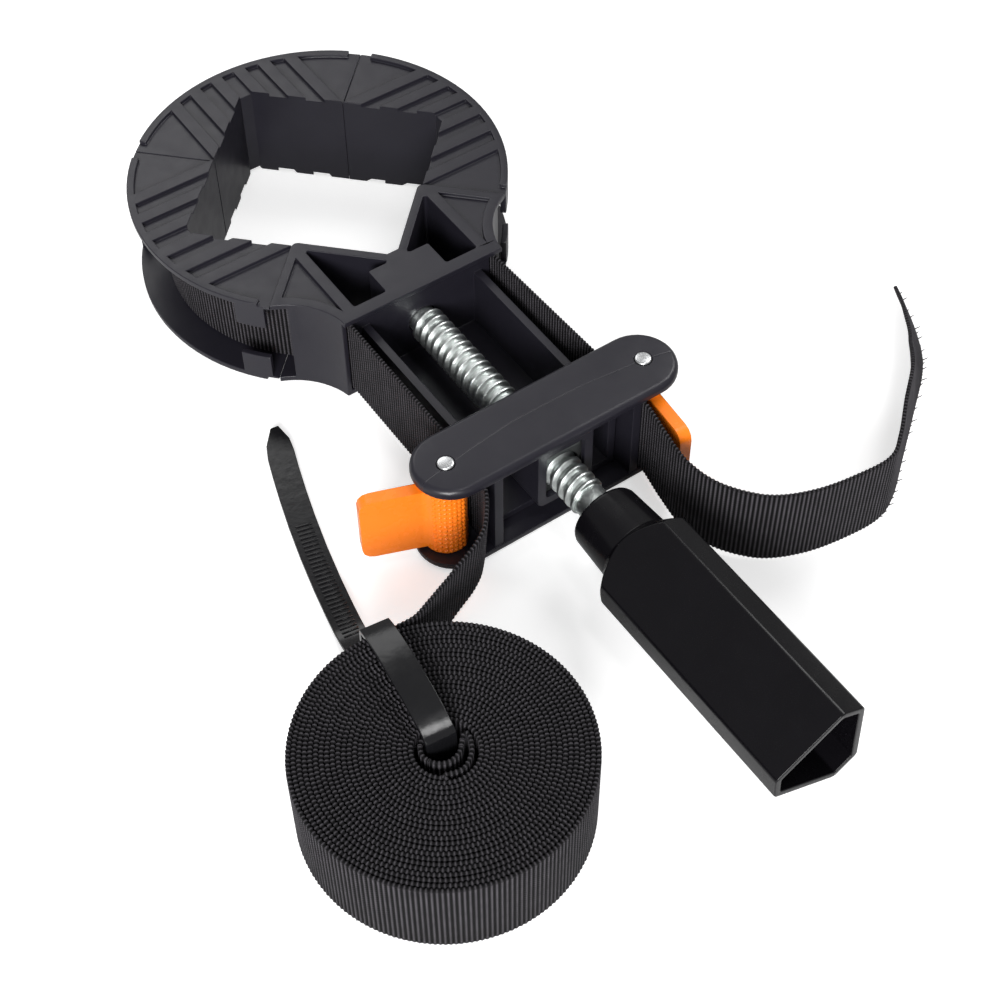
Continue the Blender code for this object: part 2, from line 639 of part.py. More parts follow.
def build_handle(parts, tools, material):
    """Handle: a turned neck and shoulder cut to a six-sided hollow grip."""
    swell = NECK_RADIUS + NECK_SWELL
    big = GRIP_LONG
    neck_end = NECK_START + NECK_LENGTH
    lengths = [(0, NECK_START), (NECK_RADIUS - 1.4 * MM, NECK_START), (NECK_RADIUS - 0.4 * MM, NECK_START + 0.4 * MM),
               (NECK_RADIUS, NECK_START + 1.4 * MM), (swell, neck_end),
               (swell + 1.2 * MM, neck_end + 0.25 * SHOULDER), (swell + 3.6 * MM, neck_end + 0.7 * SHOULDER),
               (big, neck_end + 2.2 * SHOULDER), (big, HANDLE_END), (0, HANDLE_END)]
    handle = turned("handle", list(reversed(lengths)), parts, centre=(0, 0, AXIS_Z), axis="Y", steps=48)
    handle.data.materials.append(material)
    grip = slab("grip", [grip_plan(0, GRIP_ROUND)], -HANDLE_END - BEYOND, -NECK_START + BEYOND, tools, along="Y")
    combine(handle, grip, "INTERSECT")
    combine(handle, slab("hollow", [grip_plan(GRIP_WALL, GRIP_ROUND / 2)], -HANDLE_END - BEYOND, -GRIP_HOLLOW,
                         tools, along="Y"))
    combine(handle, cylinder("shank_bore", SHANK_RADIUS + GAP, -NECK_START - SHANK_BITE - GAP,
                             -NECK_START + BEYOND, tools, at=(0, AXIS_Z), along="Y"))
    smooth(handle)
    return handle


def cam_radius(degrees):
    """The cam's radius, at an angle from the paddle's face."""
    grip = PIN_X - STRAP_X - STRAP_THICK / 2 - GAP
    return grip + CAM_RISE * (GRIP_ANGLE - min(degrees, CAM_SWEEP))


def cam_plan():
    """Cam round its pin, the paddle's face along +X: a spiral that grows towards the paddle."""
    points = []
    for k in range(46):
        degrees = k * 8 - CAM_BACK
        radius = cam_radius(degrees)
        points.append((radius * math.cos(math.radians(degrees)), -radius * math.sin(math.radians(degrees))))
    return list(reversed(points))


def build_lever(name, side, turn, parts, tools, material):
    """Cam lever: the cam between the carriage's plates and a flat paddle, with a hollow corner between."""
    lever = slab(name, [cam_plan()], PLATE + LEVER_GAP, PLATE + SLOT - LEVER_GAP, parts)
    lever.data.materials.append(material)
    low, high = PLATE + PADDLE_FOOT, PLATE + SLOT - PADDLE_HEAD
    outline = rounded([(0, low), (PADDLE_REACH, low + PADDLE_TAPER), (PADDLE_REACH, high), (0, high)],
                      PADDLE_ROUND)
    square_end = [(0, low), *[p for p in outline if p[0] > PADDLE_REACH / 2], (0, high)]
    back = PADDLE_THICK - PADDLE_SET
    paddle = slab(name + "_paddle", [square_end], -PADDLE_SET, back, tools, along="Y")
    root = cam_radius(30)
    touch = math.asin((PADDLE_SET + FILLET) / (root + FILLET))
    centre = ((root + FILLET) * math.cos(touch), -PADDLE_SET - FILLET)
    inside = back - PADDLE_THICK / 2
    web = [(root / 2, inside), (centre[0], inside), *arc(centre, FILLET, 90, 180 - math.degrees(touch), 5),
           (root / 2, -PADDLE_SET - FILLET / 3)]
    fillet = slab(name + "_fillet", [web], low + PADDLE_TAPER, high - PADDLE_TAPER, tools)
    bore = cylinder(name + "_bore", PIN_RADIUS + PIN_GAP, -BEYOND, CARRIAGE_TOP, tools, sides=24)
    for piece in (lever, paddle, fillet, bore):
        if side < 0:
            piece.data.transform(Matrix.Diagonal((-1, 1, 1, 1)))
            piece.data.flip_normals()
        piece.data.transform(Matrix.Rotation(math.radians(turn), 4, "Z"))
        piece.location = (side * PIN_X, CARRIAGE_Y, 0)
    combine(lever, paddle, "UNION")
    combine(lever, fillet, "UNION")
    combine(lever, bore)
    return lever


def build_pin(name, side, parts, material):
    """Lever pin with a low domed head."""
    top = CARRIAGE_TOP + PIN_PROUD
    dome = [(0, top), (PIN_RADIUS * 0.6, top - 0.1 * MM), (PIN_RADIUS * 0.9, top - 0.25 * MM),
            (PIN_RADIUS, top - 0.45 * MM), (PIN_RADIUS, 0.4 * MM), (0, 0.4 * MM)]
    pin = turned(name, dome, parts, centre=(side * PIN_X, CARRIAGE_Y, 0), steps=24)
    pin.data.materials.append(material)
    smooth(pin)
    return pin


def build_ring_straps(parts, material):
    """The strap's lengths round the back of each jaw and through both sides of the head."""
    edge = RIM_HALF_ANGLE
    for name, turn in (("strap_jaw_left", 180), ("strap_jaw_far", 90), ("strap_jaw_right", 0)):
        plan = arc((0, RING_Y), STRAP_RADIUS, turn - edge, turn + edge, 20)
        standing_strap(name, plan, STRAP_LOW, parts, material)
    right = [tuple(p) for p in head_strap_plan()]
    standing_strap("strap_head_right", right, STRAP_LOW, parts, material)
    standing_strap("strap_head_left", mirrored(right), STRAP_LOW, parts, material)


def build_run_straps(parts, material):
    """The two runs between the head and the carriage, and the left length under its cam."""
    start, end = REAR - GAP, CARRIAGE_Y + CARRIAGE_RADIUS
    steps = 8
    for name, side in (("strap_run_left", -1), ("strap_run_right", 1)):
        plan = [(side * (EXIT_X + (STRAP_X - EXIT_X) * k / steps), start + (end - start) * k / steps)
                for k in range(steps + 1)]
        standing_strap(name, plan, STRAP_LOW, parts, material, rise=GRIP_LOW - STRAP_LOW)
    for name, side, stop in (("strap_grip_left", -1, LOOSE_END), ("strap_grip_right", 1, GRIP_END)):
        plan = [(side * STRAP_X, end - GAP), (side * STRAP_X, stop)]
        standing_strap(name, plan, GRIP_LOW, parts, material)


def build_lead(parts, material):
    """The strap from the open left cam to the roll: on its edge, its top leaning away from the ring."""
    start = Vector((-STRAP_X, LOOSE_END - GAP))
    meet = math.radians(LEAD_MEETS)
    join = Vector(ROLL_AT) + Vector((math.cos(meet), math.sin(meet))) * (ROLL_RADIUS + GAP + STRAP_THICK / 2)
    plan = [start, *[start + Vector(p) * MM for p in LEAD_LEAVES]]
    path = rail_curve([*plan, *[join + Vector(p) * MM for p in LEAD_ARRIVES], join], 3)
    last = len(path) - 1
    feet, heads = [], []
    for i, here in enumerate(path):
        share = i / last
        lean = math.radians(LEAD_LEAN) * math.sin(math.pi * share)
        low = GAP + (GRIP_LOW - GAP) * max(0, min(1, 1 - (share - 0.4) / 0.3))
        feet.append((here.x, here.y, low))
        heads.append((here.x, here.y - math.sin(lean) * STRAP_WIDTH, low + math.cos(lean) * STRAP_WIDTH))
    return ribbon("strap_lead", feet, heads, STRAP_THICK, parts, material)


def build_tail(parts, material):
    """The free end past the right cam: it stands on the floor on its edge, and its far end leans over."""
    start = Vector((STRAP_X, GRIP_END - GAP))
    plan = rail_curve([start, *[Vector(p) * MM for p in TAIL_PATH]], 3)
    last = len(plan) - 1
    feet, heads = [], []
    for i, here in enumerate(plan):
        share = i / last
        along = (plan[min(i + 1, last)] - plan[max(i - 1, 0)]).normalized()
        lean = math.radians(TAIL_LEAN) * max(0, (share - 0.5) / 0.5) ** 0.7
        low = GAP + (GRIP_LOW - GAP) * max(0, 1 - share / 0.3)
        out = Vector((-along.y, along.x)) * math.sin(lean) * STRAP_WIDTH
        feet.append((here.x, here.y, low + STRAP_THICK / 2 * math.sin(lean)))
        heads.append((here.x + out.x, here.y + out.y, low + math.cos(lean) * STRAP_WIDTH))
    return ribbon("strap_tail", feet, heads, STRAP_THICK, parts, material)


def build_roll(parts, tools, material):
    """The spare strap rolled up on the floor, with the dent where the tie passes under it."""
    profile = [(ROLL_HUB, STRAP_WIDTH), (ROLL_RADIUS, STRAP_WIDTH), (ROLL_RADIUS, 0), (ROLL_HUB, 0),
               (ROLL_HUB, STRAP_WIDTH)]
    roll = turned("strap_roll", profile, parts, centre=(*ROLL_AT, 0), steps=64)
    roll.data.materials.append(material)
    half = TIE_WIDTH / 2 + GAP
    dent = box("tie_dent", (0, -half, -BEYOND), (ROLL_RADIUS + BEYOND, half, TIE_THICK + 2 * GAP), tools)
    dent.location = (*ROLL_AT, 0)
    dent.rotation_euler.z = math.radians(TIE_ANGLE)
    combine(roll, dent)
    return roll


def build_tie(parts, tools, material):
    """Cable tie: its band goes under the roll, up the hub, over the top and through its own head."""
    rim = ROLL_RADIUS + GAP + TIE_THICK / 2
    hub = 1.8 * MM
    floor = GAP + TIE_THICK / 2
    top = STRAP_WIDTH
    loop = rail_curve([Vector(p) for p in (
        (rim + 3 * MM, floor + 0.6 * MM), (rim - 3 * MM, floor), (rim * 0.5, floor), (hub + 5 * MM, floor),
        (hub + 1.2 * MM, floor), (hub, floor + 1.2 * MM), (hub, top * 0.3), (hub, top * 0.7), (hub, top),
        (hub + 1.4 * MM, top + 2 * MM), (rim * 0.3, top + 3.6 * MM), (rim * 0.55, top + 3.9 * MM),
        (rim * 0.8, top + 3.1 * MM), (rim - 0.9 * MM, top + 1.5 * MM), (rim + 0.1 * MM, top - 0.5 * MM),
        (rim, top * 0.5), (rim, 5 * MM))], 3)
    head_in, head_out = ROLL_RADIUS + GAP, ROLL_RADIUS + GAP + TIE_HEAD[0]
    half = TIE_WIDTH / 2
    tie = ribbon("cable_tie", [(p.x, -half, p.y) for p in loop], [(p.x, half, p.y) for p in loop],
                 TIE_THICK, parts, material)
    body = box("tie_lock", (head_in, -TIE_HEAD[1] / 2, GAP), (head_out, TIE_HEAD[1] / 2, TIE_HEAD[2]), tools)
    end = head_out + TIE_TAIL
    tail = rail_curve([Vector(p) for p in (
        (head_out - 3 * MM, 4.6 * MM), (head_out + 3 * MM, 3.6 * MM), (head_out + 10 * MM, floor + 0.4 * MM),
        (head_out + 18 * MM, floor), (head_out + 0.6 * TIE_TAIL, floor), (end - 9 * MM, floor), (end, floor))], 3)
    taper = [half * min(1, 0.3 + 0.7 * (end - p.x) / (6 * MM)) for p in tail]
    sway = [-TIE_SWAY * (max(0, p.x - head_out) / TIE_TAIL) ** 2 for p in tail]
    strip = ribbon("tie_tail", [(p.x, y - w, p.y) for p, w, y in zip(tail, taper, sway)],
                   [(p.x, y + w, p.y) for p, w, y in zip(tail, taper, sway)], TIE_THICK, tools)
    for piece in (tie, body, strip):
        piece.data.transform(Matrix.Translation((*ROLL_AT, 0)) @ Matrix.Rotation(math.radians(TIE_ANGLE), 4, "Z"))
    combine(tie, body, "UNION")
    combine(tie, strip, "UNION")
    return tie


def main():
    clear_scene()
    parts, tools = new_collection("band_clamp"), new_collection("cutters")
    plastic = make_material("black_plastic", (0.04, 0.04, 0.045), 0.42)
    grip = make_material("grip_plastic", (0.014, 0.014, 0.016), 0.35)
    orange = make_material("orange_plastic", (1.0, 0.22, 0.015), 0.35)
    zinc = make_material("zinc_plate", (0.72, 0.74, 0.74), 0.3, 1.0)
    webbing = make_material("black_webbing", (0.018, 0.018, 0.02), 0.85)
    nylon = make_material("black_nylon", (0.012, 0.012, 0.014), 0.22)
    build_head(parts, tools, plastic)
    for name, turn in (("jaw_left", 180), ("jaw_far", 90), ("jaw_right", 0)):
        build_jaw(name, turn, parts, tools, plastic)
    build_carriage(parts, tools, plastic)
    build_nut(parts, tools, zinc)
    build_spindle(parts, zinc)
    build_handle(parts, tools, grip)
    build_lever("lever_left", -1, -LEFT_TURN, parts, tools, orange)
    build_lever("lever_right", 1, RIGHT_TURN, parts, tools, orange)
    build_pin("lever_pin_left", -1, parts, zinc)
    build_pin("lever_pin_right", 1, parts, zinc)
    build_ring_straps(parts, webbing)
    build_run_straps(parts, webbing)
    build_lead(parts, webbing)
    build_tail(parts, webbing)
    build_roll(parts, tools, webbing)
    build_tie(parts, tools, nylon)


main()
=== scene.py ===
"""Band clamp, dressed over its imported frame: the camera and light first, then each piece as it is put together."""
import math

import bmesh
import bpy
from mathutils import Matrix, Vector


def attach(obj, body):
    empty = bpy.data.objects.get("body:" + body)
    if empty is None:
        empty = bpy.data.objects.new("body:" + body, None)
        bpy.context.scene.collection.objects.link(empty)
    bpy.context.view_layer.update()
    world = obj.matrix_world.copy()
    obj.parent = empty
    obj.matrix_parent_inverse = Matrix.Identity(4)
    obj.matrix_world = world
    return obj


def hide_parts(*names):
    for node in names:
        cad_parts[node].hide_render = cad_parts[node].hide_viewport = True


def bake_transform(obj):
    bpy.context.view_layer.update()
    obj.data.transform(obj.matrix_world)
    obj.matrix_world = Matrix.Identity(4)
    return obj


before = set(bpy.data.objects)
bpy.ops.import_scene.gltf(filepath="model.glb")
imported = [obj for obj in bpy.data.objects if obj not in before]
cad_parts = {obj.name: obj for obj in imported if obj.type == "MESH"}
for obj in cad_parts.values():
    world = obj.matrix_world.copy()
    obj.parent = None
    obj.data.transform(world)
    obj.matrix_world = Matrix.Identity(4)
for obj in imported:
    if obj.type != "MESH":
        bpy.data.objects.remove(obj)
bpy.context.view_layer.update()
for loaded in bpy.context.selected_objects:
    loaded.select_set(False)

# Camera. It looks down over the handle's left side, with a lens a little longer than normal.
camera_at = Vector((-0.17659, -0.29644, 0.37162))
camera_turn, camera_tilt, camera_roll = -34.133, 51.565, -0.583     # degrees
camera_data = bpy.data.cameras.new("camera")
camera_data.lens = 68.70
camera_data.sensor_width = 36.0
camera = bpy.data.objects.new("camera", camera_data)
camera.matrix_world = (Matrix.Translation(camera_at) @ Matrix.Rotation(math.radians(camera_turn), 4, "Z")
                       @ Matrix.Rotation(math.radians(90 - camera_tilt), 4, "X")
                       @ Matrix.Rotation(math.radians(camera_roll), 4, "Z"))
bpy.context.scene.collection.objects.link(camera)
bpy.context.scene.camera = camera
bpy.context.scene.view_settings.view_transform = "Standard"

# Light. A dim room that the camera sees as white, a strong softbox at the front left, and weak ones at the right,
# above and beyond the ring.
room_light = 0.33
world = bpy.data.worlds.new("room")
world.use_nodes = True
bpy.context.scene.world = world
room = world.node_tree
room_ray = room.nodes.new("ShaderNodeLightPath")
room_seen = room.nodes.new("ShaderNodeMath")
room_seen.operation = "MAXIMUM"
room_mix = room.nodes.new("ShaderNodeMapRange")
room_mix.inputs["To Min"].default_value = room_light
room_mix.inputs["To Max"].default_value = 1.0
room.links.new(room_ray.outputs["Is Camera Ray"], room_seen.inputs[0])
room.links.new(room_ray.outputs["Is Transmission Ray"], room_seen.inputs[1])
room.links.new(room_seen.outputs[0], room_mix.inputs["Value"])
room.links.new(room_mix.outputs["Result"], room.nodes["Background"].inputs["Strength"])
room.nodes["Background"].inputs["Color"].default_value = (1.0, 1.0, 1.0, 1.0)

# Each softbox: name, place, what it looks at, width, height, power in watts.
softboxes = [
    ("softbox_front", (-0.66, -0.78, 0.50), (0.0, -0.02, 0.0), 0.45, 0.40, 15.0),
    ("softbox_right", (0.60, 0.10, 0.72), (0.0, -0.02, 0.0), 0.35, 0.35, 2.8),
    ("softbox_top", (0.10, -0.25, 0.92), (0.0, -0.02, 0.0), 0.12, 0.16, 0.9),
    ("softbox_far", (0.10, 0.60, 0.55), (0.0, 0.03, 0.0), 0.50, 0.30, 1.0),
]
for name, place, target, wide, high, power in softboxes:
    lamp = bpy.data.lights.new(name, "AREA")
    lamp.shape = "RECTANGLE"
    lamp.size, lamp.size_y = wide, high
    lamp.energy = power
    holder = bpy.data.objects.new(name, lamp)
    aim = Vector(target) - Vector(place)
    holder.matrix_world = Matrix.Translation(Vector(place)) @ aim.to_track_quat("-Z", "Y").to_matrix().to_4x4()
    bpy.context.scene.collection.objects.link(holder)

# Table. White and matt, a hair below the clamp; a little light of its own, for the camera only, lifts it to white
# where the clamp's soft shadow doesn't fall.
table_size, table_height, table_light = 6.0, -0.0002, 0.56
bpy.ops.mesh.primitive_plane_add(size=table_size, location=(0.0, 0.0, table_height))
table = bpy.context.object
table.name = "table"
table_finish = bpy.data.materials.new("table_white")
table_finish.use_nodes = True
table_nodes = table_finish.node_tree
table_shader = table_nodes.nodes["Principled BSDF"]
table_shader.inputs["Base Color"].default_value = (0.80, 0.80, 0.80, 1.0)
table_shader.inputs["Roughness"].default_value = 0.9
table_shader.inputs["Specular IOR Level"].default_value = 0.1
table_shader.inputs["Emission Color"].default_value = (1.0, 1.0, 1.0, 1.0)
table_ray = table_nodes.nodes.new("ShaderNodeLightPath")
table_glow = table_nodes.nodes.new("ShaderNodeMath")
table_glow.operation = "MULTIPLY"
table_glow.inputs[1].default_value = table_light
table_nodes.links.new(table_ray.outputs["Is Camera Ray"], table_glow.inputs[0])
table_nodes.links.new(table_glow.outputs[0], table_shader.inputs["Emission Strength"])
table.data.materials.append(table_finish)


# Head block. One moulding of charcoal nylon with a fine satin skin: the horns that close the ring,
# the bare square plate over the screw's tip, the strap passages and the two rails.
class Value:
    """A shader socket that takes maths, so that a pattern reads as an expression."""

    def __init__(self, finish, socket):
        self.finish, self.socket = finish, socket

    def maths(self, operation, *others):
        return self.finish.node("ShaderNodeMath", {"operation": operation}, self, *others)

    def __add__(self, other):
        return self.maths("ADD", other)

    def __sub__(self, other):
        return self.maths("SUBTRACT", other)

    def __mul__(self, other):
        return self.maths("MULTIPLY", other)

    def __truediv__(self, other):
        return self.maths("DIVIDE", other)

    def __rsub__(self, other):
        return (self * -1.0).maths("ADD", other)

    __radd__, __rmul__ = __add__, __mul__


class Finish:
    """A material in the making: its plain values, and node() for anything that varies over the surface."""

    def __init__(self, name, colour, roughness, **plain):
        self.material = bpy.data.materials.new(name)
        self.material.use_nodes = True
        self.tree = self.material.node_tree
        self.shader = self.tree.nodes["Principled BSDF"]
        self.put("Base Color", (*colour, 1.0))
        self.put("Roughness", roughness)
        for socket, value in plain.items():
            self.put(socket.replace("_", " "), value)

    def put(self, socket, value):
        """Set or link one socket of the surface."""
        if isinstance(value, Value):
            self.tree.links.new(value.socket, self.shader.inputs[socket])
        else:
            self.shader.inputs[socket].default_value = value

    def node(self, kind, settings=None, *values, out=0, **named):
        """Add a node, set it up, feed its sockets and hand back one output."""
        made = self.tree.nodes.new(kind)
        for key, setting in (settings or {}).items():
            setattr(made, key, setting)
        pairs = [*enumerate(values), *((k.replace("_", " "), v) for k, v in named.items())]
        for key, value in pairs:
            if isinstance(value, Value):
                self.tree.links.new(value.socket, made.inputs[key])
            else:
                made.inputs[key].default_value = value
        return Value(self, made.outputs[out])

    def place(self):
        """Object coordinates, in metres."""
        return self.node("ShaderNodeTexCoord", out="Object")

    def noise(self, size, detail=2.0, roughness=0.5):
        """Cloudy variation whose lumps are about size metres across, from 0 to 1."""
        return self.node("ShaderNodeTexNoise", None, Vector=self.place(), Scale=1.0 / size, Detail=detail,
                         Roughness=roughness)

    def mix(self, factor, first, second):
        """From one colour, where the factor is 0, to another, where it is 1."""
        return self.node("ShaderNodeMix", {"data_type": "RGBA"}, out=2, Factor=factor, A=(*first, 1.0),
                         B=(*second, 1.0))

    def bump(self, height, depth):
        """Raise the surface by height times depth metres."""
        self.put("Normal", self.node("ShaderNodeBump", None, Height=height, Distance=depth, Strength=1.0))


cloud_size, gloss_size, gloss_swing, grain_size = 0.012, 0.004, 0.16, 0.00035


def plastic(name, dark, light, roughness, grain, gloss):
    """Moulded plastic: cloudy tone, a little uneven gloss and a fine grain, whose depth is in metres."""
    finish = Finish(name, dark, roughness, Specular_IOR_Level=gloss)
    finish.put("Base Color", finish.mix(finish.noise(cloud_size, 3.0), dark, light))
    finish.put("Roughness", roughness + (finish.noise(gloss_size, 3.0) - 0.5) * gloss_swing)
    finish.bump(finish.noise(grain_size, 2.0), grain)
    return finish.material


satin_dark, satin_light, satin_rough, satin_gloss = (0.0112, 0.0104, 0.0155), (0.0160, 0.0150, 0.0215), 0.36, 0.42
satin_plastic = plastic("satin_plastic", satin_dark, satin_light, satin_rough, 0.000014, satin_gloss)
ring_centre = Vector((0.0, 0.049, 0.0))
seam_reach, seam_near, seam_shift = 0.02, 0.0002, 0.00011


def moulded(node, name, finish, edge, seams=(), weld=0.000002, clamp=False):
    """A CAD moulding's shape with its edges eased, as a piece that stands for it.

    seams are the ring's joints that it meets: degrees round the ring, and 1 or -1 for the side that it lies on.
    Its faces there are moved outwards, so that each joint shows as a hairline.
    """
    piece = bpy.data.objects.new(name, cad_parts[node].data.copy())
    bpy.context.scene.collection.objects.link(piece)
    shape = bmesh.new()
    shape.from_mesh(piece.data)
    bmesh.ops.remove_doubles(shape, verts=shape.verts, dist=weld)
    for degrees, way in seams:
        turn = math.radians(degrees)
        outwards = Vector((math.cos(turn), math.sin(turn), 0.0))
        inwards = Vector((-math.sin(turn), math.cos(turn), 0.0)) * way
        for vert in shape.verts:
            spot = vert.co - ring_centre
            if abs(spot.dot(inwards)) < seam_near and spot.dot(outwards) > seam_reach:
                vert.co -= inwards * seam_shift
    bmesh.ops.dissolve_limit(shape, angle_limit=math.radians(0.3), verts=shape.verts, edges=shape.edges)
    bmesh.ops.triangulate(shape, faces=shape.faces, quad_method="BEAUTY", ngon_method="BEAUTY")
    shape.to_mesh(piece.data)
    shape.free()
    bpy.context.view_layer.objects.active = piece
    ease = piece.modifiers.new("ease", "BEVEL")
    ease.width = edge
    ease.segments = 2
    ease.limit_method = "ANGLE"
    ease.angle_limit = math.radians(32)
    ease.use_clamp_overlap = clamp
    bpy.ops.object.modifier_apply(modifier="ease")
    piece.data.shade_smooth()
    piece.data.set_sharp_from_angle(angle=math.radians(40))
    flat = piece.modifiers.new("flat", "WEIGHTED_NORMAL")
    flat.weight = 90
    flat.keep_sharp = True
    bpy.ops.object.modifier_apply(modifier="flat")
    piece.data.materials.clear()
    piece.data.materials.append(finish)
    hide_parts(node)
    return piece


head = moulded("head_frame", "head_block", satin_plastic, 0.00022, seams=((225, 1), (-45, -1)))
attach(head, "frame")

# Corner blocks. Three mouldings of the same plastic round the opening, ribbed above and below.
for side, first, last in (("left", 135, 225), ("far", 45, 135), ("right", -45, 45)):
    block = moulded("jaw_" + side, "corner_block_" + side, satin_plastic, 0.00022, seams=((first, 1), (last, -1)))
    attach(block, "jaw_" + side)

# Carriage. One moulding that slides on the rails, with both levers between its plates. The same plastic, with the
# faint flow line that bows from pin to pin over its top plate.
line_at, line_bow, line_wander, line_half, line_deep = 0.0536, 3.0, 0.0012, 0.00022, 0.000045
plate = Finish("plate_plastic", satin_dark, satin_rough, Specular_IOR_Level=satin_gloss)
across = plate.node("ShaderNodeSeparateXYZ", None, plate.place(), out="X")
along = plate.node("ShaderNodeSeparateXYZ", None, plate.place(), out="Y")
off_line = along + line_at + across * across * line_bow + plate.noise(0.02, 1.0) * line_wander
flow_line = 1.0 - (off_line.maths("ABSOLUTE") / line_half).maths("MINIMUM", 1.0)
plate.put("Base Color", plate.mix(plate.noise(cloud_size, 3.0), satin_dark, satin_light))
plate.put("Roughness", satin_rough + (plate.noise(gloss_size, 3.0) - 0.5) * gloss_swing - flow_line * 0.12)
plate.bump(plate.noise(grain_size, 2.0) * 0.3 - flow_line, line_deep)
carriage = moulded("carriage", "carriage_body", plate.material, 0.00017)
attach(carriage, "carriage")

# Lever pins. Bright steel pins with low domed heads, one through each lever and both plates of the carriage.
bright_steel = Finish("bright_steel", (0.78, 0.79, 0.80), 0.22, Metallic=1.0)
bright_steel.put("Roughness", 0.18 + bright_steel.noise(0.0006, 2.0) * 0.2)
pin_radius, pin_top, pin_low, pin_dome = 0.0021, 0.0306, 0.0004, 0.00045
pin_out, pin_line = 0.02875, -0.056
for side, name in ((-1, "left"), (1, "right")):
    bpy.ops.mesh.primitive_cylinder_add(vertices=48, radius=pin_radius, depth=pin_top - pin_low,
                                        location=(side * pin_out, pin_line, (pin_top + pin_low) / 2))
    pin = bpy.context.object
    pin.name = "pin_" + name
    bpy.ops.object.transform_apply(location=True, rotation=True, scale=True)
    bpy.ops.object.mode_set(mode="EDIT")
    bpy.ops.mesh.select_all(action="DESELECT")
    shape = bmesh.from_edit_mesh(pin.data)
    for face in shape.faces:
        if face.normal.z > 0.9:
            face.select_set(True)
    bmesh.update_edit_mesh(pin.data)
    bpy.ops.mesh.bevel(offset=pin_dome, segments=4, affect="EDGES")
    bpy.ops.object.mode_set(mode="OBJECT")
    pin.data.shade_smooth()
    pin.data.set_sharp_from_angle(angle=math.radians(50))
    pin.data.materials.append(bright_steel.material)
    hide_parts("lever_pin_" + name)
    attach(pin, "carriage")

# Nut. Square steel nut behind the carriage's window; its steel is coloured far darker than the pins', a painted shade
# for the dim window.
nut_steel_painted_shade = Finish("nut_steel_painted_shade", (0.16, 0.17, 0.17), 0.5, Metallic=1.0)
nut_steel_painted_shade.put("Roughness", 0.42 + nut_steel_painted_shade.noise(0.0008, 2.0) * 0.2)
nut = moulded("spindle_nut", "screw_nut", nut_steel_painted_shade.material, 0.00025)
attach(nut, "carriage")

# Screw. Zinc-plated bar with a rolled thread of 2.75 mm pitch, a plain tip in the head's socket and a
# smooth shank that runs into the handle's neck. The thread's profile is given as radius and place along one turn.
zinc = Finish("zinc_plate", (0.62, 0.64, 0.66), 0.3, Metallic=1.0)
zinc.put("Base Color", zinc.mix(zinc.noise(0.0022, 4.0), (0.66, 0.71, 0.69), (0.96, 1.0, 0.98)))
zinc.put("Roughness", 0.20 + zinc.noise(0.0007, 3.0) * 0.30)
zinc.bump(zinc.noise(0.0005, 3.0), 0.00003)
thread_pitch, thread_crest, thread_root, thread_turns, thread_ease = 0.00275, 0.0049, 0.0040, 28, 0.0001
thread_start, thread_end, screw_axis = -0.0035, -0.0735, 0.0146
tip_radius, tip_front, shank_radius, shank_back = 0.0039, 0.0036, 0.0043, -0.0930
plain_overlap, plain_edge = 0.0006, 0.0005
screw = bpy.data.objects.new("screw", bpy.data.meshes.new("screw"))
bpy.context.scene.collection.objects.link(screw)
shape = bmesh.new()
thread_profile = [(thread_root, 0.0), (thread_root, 0.00062), (thread_root + thread_ease, 0.00070),
                  (thread_crest - thread_ease, 0.00112), (thread_crest, 0.00122), (thread_crest, 0.00200),
                  (thread_crest - thread_ease, 0.00210), (thread_root + thread_ease, 0.00252), (thread_root, 0.00260),
                  (thread_root, thread_pitch)]
chain = [shape.verts.new((radius, thread_end - thread_pitch + along, 0.0)) for radius, along in thread_profile]
for first, second in zip(chain, chain[1:]):
    shape.edges.new((first, second))
shape.to_mesh(screw.data)
shape.free()
bpy.context.view_layer.objects.active = screw
winding = screw.modifiers.new("winding", "SCREW")
winding.axis = "Y"
winding.angle = math.radians(360)
winding.screw_offset = thread_pitch
winding.iterations = thread_turns
winding.steps = winding.render_steps = 48
winding.use_merge_vertices = True
winding.merge_threshold = 1e-6
winding.use_smooth_shade = True
bpy.ops.object.modifier_apply(modifier="winding")
screw.select_set(True)
bpy.ops.object.mode_set(mode="EDIT")
for cut, outwards in ((thread_start, 1), (thread_end, -1)):
    bpy.ops.mesh.select_all(action="SELECT")
    bpy.ops.mesh.bisect(plane_co=(0.0, cut, 0.0), plane_no=(0.0, outwards, 0.0), use_fill=True, clear_outer=True)
bpy.ops.mesh.select_all(action="SELECT")
bpy.ops.mesh.normals_make_consistent(inside=False)
bpy.ops.object.mode_set(mode="OBJECT")
screw.data.transform(Matrix.Translation((0.0, 0.0, screw_axis)))
screw.select_set(False)
plain_lengths = [(tip_radius, tip_front, thread_start - plain_overlap),
                 (shank_radius, thread_end + plain_overlap, shank_back)]
ends = []
for radius, front, back in plain_lengths:
    bpy.ops.mesh.primitive_cylinder_add(vertices=48, radius=radius, depth=front - back,
                                        location=(0.0, (front + back) / 2, screw_axis),
                                        rotation=(math.radians(90), 0.0, 0.0))
    end = bpy.context.object
    bpy.ops.object.transform_apply(location=True, rotation=True, scale=True)
    bpy.ops.object.mode_set(mode="EDIT")
    bpy.ops.mesh.select_all(action="DESELECT")
    shape = bmesh.from_edit_mesh(end.data)
    for face in shape.faces:
        if abs(face.normal.y) > 0.9:
            face.select_set(True)
    bmesh.update_edit_mesh(end.data)
    bpy.ops.mesh.bevel(offset=plain_edge, segments=2, affect="EDGES")
    bpy.ops.object.mode_set(mode="OBJECT")
    end.data.shade_smooth()
    ends.append(end)
    end.select_set(False)
for bar in (*ends, screw):
    bar.select_set(True)
bpy.context.view_layer.objects.active = screw
bpy.ops.object.join()
screw.select_set(False)
screw.data.set_sharp_from_angle(angle=math.radians(50))
screw.data.materials.append(zinc.material)
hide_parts("spindle_screw")
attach(screw, "spindle")

